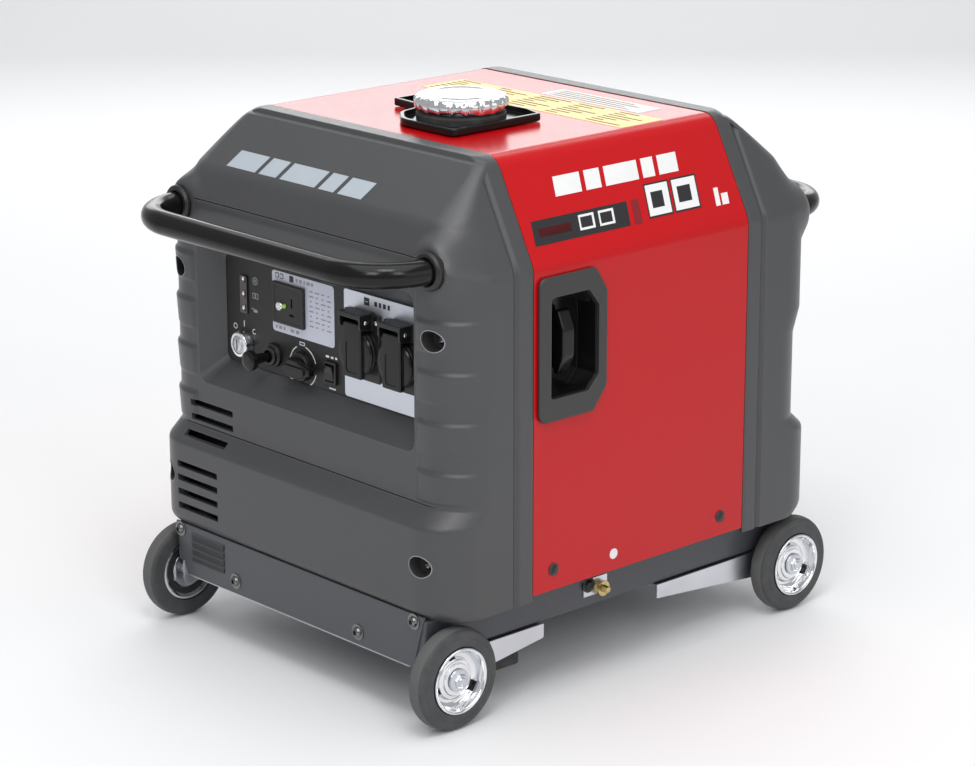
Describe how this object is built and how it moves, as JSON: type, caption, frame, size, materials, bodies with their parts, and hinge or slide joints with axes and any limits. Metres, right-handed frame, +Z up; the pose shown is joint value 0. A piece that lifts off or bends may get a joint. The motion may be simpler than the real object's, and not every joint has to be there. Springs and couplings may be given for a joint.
{
  "type": "inverter generator",
  "caption": "Enclosed petrol generator on wheels: red steel shell, dark moulded end covers, control panel with outlets, tube handles, recoil starter, filler cap on the roof.",
  "frame": {"origin": "on the ground under the middle of the generator, where its four wheels stand", "axes": "+Z up, -Y towards the control panel end, +X towards the side with the starter grip"},
  "size_m": [0.4465, 0.6324, 0.558],
  "materials": {
    "ac_lid_left": "moulded, satin",
    "ac_lid_right": "moulded, satin",
    "ac_outlet_plate": "silver satin",
    "ac_socket_left": "moulded, satin",
    "ac_socket_right": "moulded, satin",
    "air_cleaner": "moulded, satin",
    "alternator_rotor": "machined",
    "base_pan": "satin paint",
    "battery": "moulded, satin",
    "body_shell": "gloss paint",
    "carburettor": "as cast",
    "choke_collar": "moulded, satin",
    "choke_knob": "gloss",
    "control_panel": "moulded, satin",
    "crankcase": "as cast",
    "cylinder_barrel": "as cast",
    "dc_outlet": "moulded, satin",
    "eco_switch_bezel": "moulded, satin",
    "eco_switch_rocker": "gloss",
    "engine_switch": "polished",
    "filler_seal": "matt",
    "filler_tray": "gloss",
    "front_cover": "moulded, fine grain",
    "front_handle": "gloss powder coat",
    "front_left_axle": "zinc plated",
    "front_left_rim": "polished",
    "front_left_tyre": "matt",
    "front_left_wheel_bracket": "zinc plated",
    "front_panel_surround": "moulded, fine grain",
    "front_right_axle": "zinc plated",
    "front_right_rim": "polished",
    "front_right_tyre": "matt",
    "front_right_wheel_bracket": "zinc plated",
    "fuel_cap": "polished",
    "fuel_tank": "satin heat-resistant paint",
    "fuel_valve_body": "moulded, satin",
    "fuel_valve_lever": "gloss",
    "ignition_key_barrel": "zinc plated",
    "indicator_unit": "tinted lens",
    "inverter_unit": "as cast",
    "left_service_cover": "gloss paint",
    "muffler": "satin heat-resistant paint",
    "rear_cover": "moulded, fine grain",
    "rear_grille": "moulded, satin",
    "rear_handle": "gloss powder coat",
    "rear_left_axle": "zinc plated",
    "rear_left_rim": "polished",
    "rear_left_tyre": "matt",
    "rear_left_wheel_bracket": "zinc plated",
    "rear_right_axle": "zinc plated",
    "rear_right_rim": "polished",
    "rear_right_tyre": "matt",
    "rear_right_wheel_bracket": "zinc plated",
    "recoil_housing": "satin paint",
    "recoil_pulley": "moulded, satin",
    "starter_bezel": "moulded, fine grain",
    "starter_grip": "moulded, satin",
    "starter_rope": "braided"
  },
  "bodies": {
    "housing": {"ac_outlet_plate": "ac_outlet_plate", "ac_socket_left": "ac_socket_left", "ac_socket_right": "ac_socket_right", "air_cleaner": "air_cleaner", "base_pan": "base_pan", "battery": "battery", "body_shell": "body_shell", "carburettor": "carburettor", "choke_collar": "choke_collar", "control_panel": "control_panel", "crankcase": "crankcase", "cylinder_barrel": "cylinder_barrel", "dc_outlet": "dc_outlet", "eco_switch_bezel": "eco_switch_bezel", "engine_switch": "engine_switch", "filler_tray": "filler_tray", "front_cover": "front_cover", "front_handle": "front_handle", "front_left_axle": "front_left_axle", "front_left_wheel_bracket": "front_left_wheel_bracket", "front_panel_surround": "front_panel_surround", "front_right_axle": "front_right_axle", "front_right_wheel_bracket": "front_right_wheel_bracket", "fuel_tank": "fuel_tank", "fuel_valve_body": "fuel_valve_body", "indicator_unit": "indicator_unit", "inverter_unit": "inverter_unit", "left_service_cover": "left_service_cover", "muffler": "muffler", "rear_cover": "rear_cover", "rear_grille": "rear_grille", "rear_handle": "rear_handle", "rear_left_axle": "rear_left_axle", "rear_left_wheel_bracket": "rear_left_wheel_bracket", "rear_right_axle": "rear_right_axle", "rear_right_wheel_bracket": "rear_right_wheel_bracket", "recoil_housing": "recoil_housing", "starter_bezel": "starter_bezel"},
    "front_left_wheel": {"front_left_tyre": "front_left_tyre", "front_left_rim": "front_left_rim"},
    "front_right_wheel": {"front_right_tyre": "front_right_tyre", "front_right_rim": "front_right_rim"},
    "rear_left_wheel": {"rear_left_tyre": "rear_left_tyre", "rear_left_rim": "rear_left_rim"},
    "rear_right_wheel": {"rear_right_tyre": "rear_right_tyre", "rear_right_rim": "rear_right_rim"},
    "cap_seal": {"filler_seal": "filler_seal"},
    "cap": {"fuel_cap": "fuel_cap"},
    "key": {"ignition_key_barrel": "ignition_key_barrel"},
    "choke": {"choke_knob": "choke_knob"},
    "fuel_valve": {"fuel_valve_lever": "fuel_valve_lever"},
    "eco_switch": {"eco_switch_rocker": "eco_switch_rocker"},
    "left_lid": {"ac_lid_left": "ac_lid_left"},
    "right_lid": {"ac_lid_right": "ac_lid_right"},
    "starter": {"starter_grip": "starter_grip", "starter_rope": "starter_rope"},
    "starter_pulley": {"recoil_pulley": "recoil_pulley"},
    "rotor": {"alternator_rotor": "alternator_rotor"}
  },
  "joints": [
    {"name": "front_left_wheel_spin", "type": "hinge", "parent": "housing", "child": "front_left_wheel", "pos_m": [-0.2055, -0.233, 0.05], "axis": [1, 0, 0], "continuous": true},
    {"name": "front_right_wheel_spin", "type": "hinge", "parent": "housing", "child": "front_right_wheel", "pos_m": [0.2055, -0.233, 0.05], "axis": [1, 0, 0], "continuous": true},
    {"name": "rear_left_wheel_spin", "type": "hinge", "parent": "housing", "child": "rear_left_wheel", "pos_m": [-0.2055, 0.233, 0.05], "axis": [1, 0, 0], "continuous": true},
    {"name": "rear_right_wheel_spin", "type": "hinge", "parent": "housing", "child": "rear_right_wheel", "pos_m": [0.2055, 0.233, 0.05], "axis": [1, 0, 0], "continuous": true},
    {"name": "cap_lift", "type": "slide", "parent": "housing", "child": "cap_seal", "axis": [0, 0, 1], "range_m": [0, 0.12]},
    {"name": "cap_turn", "type": "hinge", "parent": "cap_seal", "child": "cap", "pos_m": [0.038, -0.068, 0.55], "axis": [0, 0, 1], "range_deg": [0, 120]},
    {"name": "key_turn", "type": "hinge", "parent": "housing", "child": "key", "pos_m": [-0.1176, -0.2219, 0.304], "axis": [0, -1, 0], "range_deg": [-45, 45]},
    {"name": "choke_pull", "type": "slide", "parent": "housing", "child": "choke", "axis": [0, -1, 0], "range_m": [-0.014, 0]},
    {"name": "fuel_valve_turn", "type": "hinge", "parent": "housing", "child": "fuel_valve", "pos_m": [-0.0275, -0.2286, 0.2995], "axis": [0, -1, 0], "range_deg": [0, 90]},
    {"name": "eco_switch_rock", "type": "hinge", "parent": "housing", "child": "eco_switch", "pos_m": [0.0155, -0.218, 0.302], "axis": [-1, 0, 0], "range_deg": [0, 11]},
    {"name": "left_lid_hinge", "type": "hinge", "parent": "housing", "child": "left_lid", "pos_m": [0.066, -0.229, 0.364], "axis": [-1, 0, 0], "range_deg": [0, 90], "stiffness_Nm_per_rad": 0.01, "springref_deg": -17.19},
    {"name": "right_lid_hinge", "type": "hinge", "parent": "housing", "child": "right_lid", "pos_m": [0.1225, -0.229, 0.364], "axis": [-1, 0, 0], "range_deg": [0, 90], "stiffness_Nm_per_rad": 0.01, "springref_deg": -17.19},
    {"name": "starter_pull", "type": "slide", "parent": "housing", "child": "starter", "axis": [1, 0, 0], "range_m": [0, 0.5], "stiffness_N_per_m": 12, "springref_m": -0.6},
    {"name": "starter_pulley_spin", "type": "hinge", "parent": "housing", "child": "starter_pulley", "pos_m": [0, -0.095, 0.285], "axis": [0, 1, 0], "range_deg": [0, 441]},
    {"name": "rotor_spin", "type": "hinge", "parent": "housing", "child": "rotor", "pos_m": [0, 0, 0.285], "axis": [0, 1, 0], "continuous": true}
  ],
  "couplings": [
    {"joint": "starter_pulley_spin", "follows": "starter_pull", "rad_per_m": 15.385}
  ]
}
